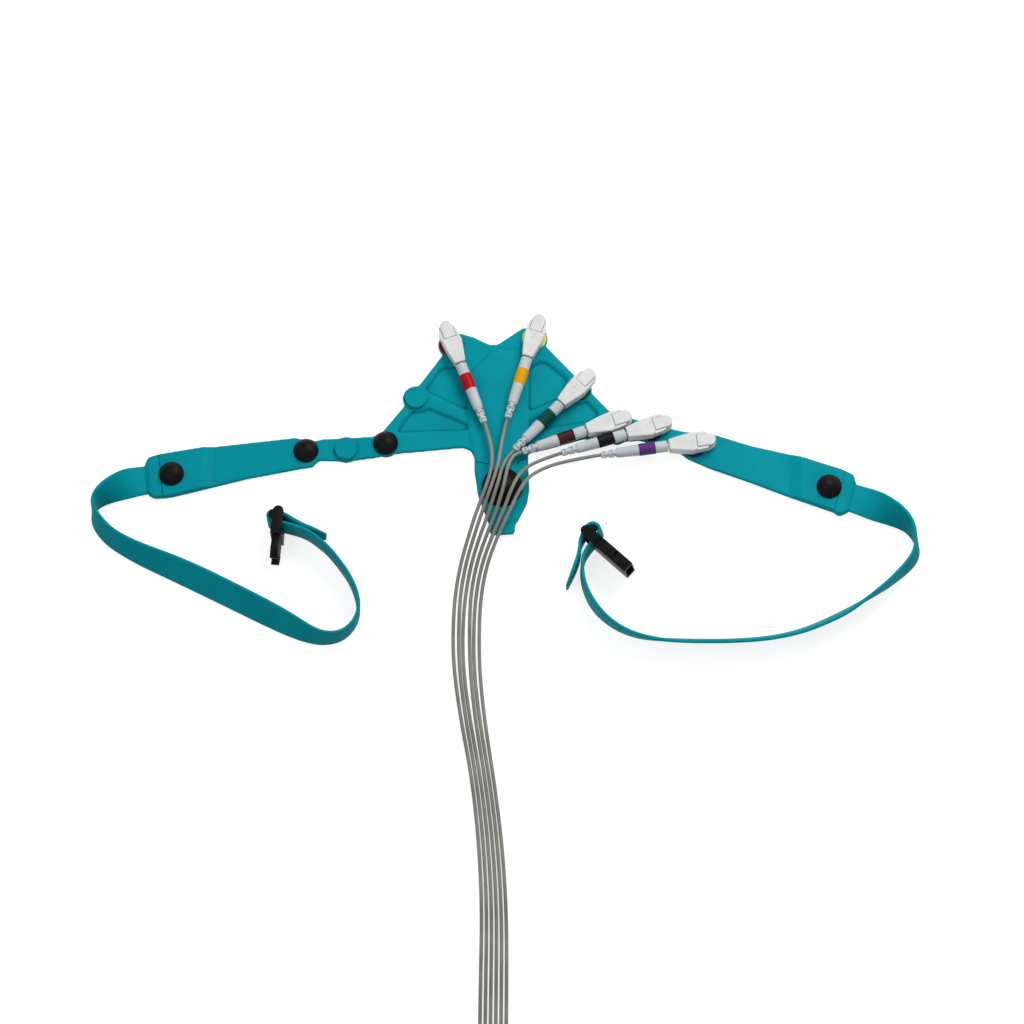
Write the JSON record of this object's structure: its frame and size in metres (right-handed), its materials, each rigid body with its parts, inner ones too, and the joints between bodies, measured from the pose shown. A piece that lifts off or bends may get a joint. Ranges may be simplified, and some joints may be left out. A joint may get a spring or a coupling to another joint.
{
  "type": "ecg belt",
  "caption": "Moulded chest belt with snap electrodes, side straps with clasp halves, and lead wires with press clips that run to a pin connector.",
  "frame": {"origin": "centre of the large centre electrode's skin-side face, on the surface that the belt lies on", "axes": "+X to the wearer's left wing, +Y towards the upper electrodes, +Z out of the chest"},
  "size_m": [0.5956, 0.6712, 0.0281],
  "materials": {
    "belt_rubber": "smooth moulded silicone, satin",
    "strap_rubber": "smooth moulded silicone band, satin",
    "black_plastic": "fine matt",
    "clip_plastic": "satin white",
    "plug_plastic": "satin light grey",
    "cord_jacket": "smooth grey jacket",
    "nickel": "bright nickel plate",
    "steel_spring": "ground",
    "electrode_pad": "matt conductive rubber",
    "disc_red": "matt",
    "disc_yellow": "matt",
    "disc_green": "matt",
    "disc_brown": "matt",
    "disc_black": "matt",
    "disc_violet": "matt",
    "band_red": "satin",
    "band_yellow": "satin",
    "band_green": "satin",
    "band_brown": "satin",
    "band_black": "satin",
    "band_violet": "satin"
  },
  "bodies": {
    "belt": {"belt_panel": "belt_rubber", "blank_knobs": "belt_rubber", "centre_cap": "black_plastic", "clip_shell_v1": "clip_plastic", "clip_shell_v2": "clip_plastic", "clip_shell_v3": "clip_plastic", "clip_shell_v4": "clip_plastic", "clip_shell_v5": "clip_plastic", "clip_shell_v6": "clip_plastic", "connector_pins": "nickel", "dome_caps": "black_plastic", "electrode_disc_v1": "disc_red", "electrode_disc_v2": "disc_yellow", "electrode_disc_v3": "disc_green", "electrode_disc_v4": "disc_brown", "electrode_disc_v5": "disc_black", "electrode_disc_v6": "disc_violet", "lead_coil_v1": "cord_jacket", "lead_coil_v2": "cord_jacket", "lead_coil_v3": "cord_jacket", "lead_coil_v4": "cord_jacket", "lead_coil_v5": "cord_jacket", "lead_coil_v6": "cord_jacket", "lead_connector": "black_plastic", "lead_cord_v1": "cord_jacket", "lead_cord_v2": "cord_jacket", "lead_cord_v3": "cord_jacket", "lead_cord_v4": "cord_jacket", "lead_cord_v5": "cord_jacket", "lead_cord_v6": "cord_jacket", "left_strap": "strap_rubber", "lever_pins": "nickel", "lever_springs": "steel_spring", "plug_band_v1": "band_red", "plug_band_v2": "band_yellow", "plug_band_v3": "band_green", "plug_band_v4": "band_brown", "plug_band_v5": "band_black", "plug_band_v6": "band_violet", "plug_body_v1": "plug_plastic", "plug_body_v2": "plug_plastic", "plug_body_v3": "plug_plastic", "plug_body_v4": "plug_plastic", "plug_body_v5": "plug_plastic", "plug_body_v6": "plug_plastic", "plug_pins": "nickel", "right_strap": "strap_rubber", "skin_electrodes": "electrode_pad", "snap_studs": "nickel", "socket_sleeves": "nickel", "strain_reliefs": "plug_plastic"},
    "press_lever_v1": {"clip_lever_v1": "clip_plastic"},
    "press_lever_v2": {"clip_lever_v2": "clip_plastic"},
    "press_lever_v3": {"clip_lever_v3": "clip_plastic"},
    "press_lever_v4": {"clip_lever_v4": "clip_plastic"},
    "press_lever_v5": {"clip_lever_v5": "clip_plastic"},
    "press_lever_v6": {"clip_lever_v6": "clip_plastic"},
    "male_half": {"male_buckle": "black_plastic"},
    "female_half": {"female_buckle": "black_plastic"}
  },
  "joints": [
    {"name": "clip_press_v1", "type": "hinge", "parent": "belt", "child": "press_lever_v1", "pos_m": [-0.03863, 0.11618, 0.011], "axis": [-0.9348, -0.3551, 0], "range_deg": [0, 6], "stiffness_Nm_per_rad": 0.02, "springref_deg": -8.59},
    {"name": "clip_press_v2", "type": "hinge", "parent": "belt", "child": "press_lever_v2", "pos_m": [0.02495, 0.1214, 0.011], "axis": [-0.9573, 0.289, 0], "range_deg": [0, 6], "stiffness_Nm_per_rad": 0.02, "springref_deg": -8.59},
    {"name": "clip_press_v3", "type": "hinge", "parent": "belt", "child": "press_lever_v3", "pos_m": [0.05865, 0.0801, 0.011], "axis": [-0.729, 0.6845, 0], "range_deg": [0, 6], "stiffness_Nm_per_rad": 0.02, "springref_deg": -8.59},
    {"name": "clip_press_v4", "type": "hinge", "parent": "belt", "child": "press_lever_v4", "pos_m": [0.08296, 0.05004, 0.011], "axis": [-0.3338, 0.9426, 0], "range_deg": [0, 6], "stiffness_Nm_per_rad": 0.02, "springref_deg": -8.59},
    {"name": "clip_press_v5", "type": "hinge", "parent": "belt", "child": "press_lever_v5", "pos_m": [0.11214, 0.04651, 0.011], "axis": [-0.3007, 0.9537, 0], "range_deg": [0, 6], "stiffness_Nm_per_rad": 0.02, "springref_deg": -8.59},
    {"name": "clip_press_v6", "type": "hinge", "parent": "belt", "child": "press_lever_v6", "pos_m": [0.14318, 0.03353, 0.011], "axis": [-0.1426, 0.9898, 0], "range_deg": [0, 6], "stiffness_Nm_per_rad": 0.02, "springref_deg": -8.59},
    {"name": "male_buckle_swivel", "type": "hinge", "parent": "belt", "child": "male_half", "pos_m": [-0.1633, -0.0276, 0.0133], "axis": [0, 0, 1], "range_deg": [-80, 2]},
    {"name": "female_buckle_swivel", "type": "hinge", "parent": "belt", "child": "female_half", "pos_m": [0.0657, -0.0378, 0.0145], "axis": [-0.1184, -0.127, 0.9848], "range_deg": [-2, 80]}
  ]
}
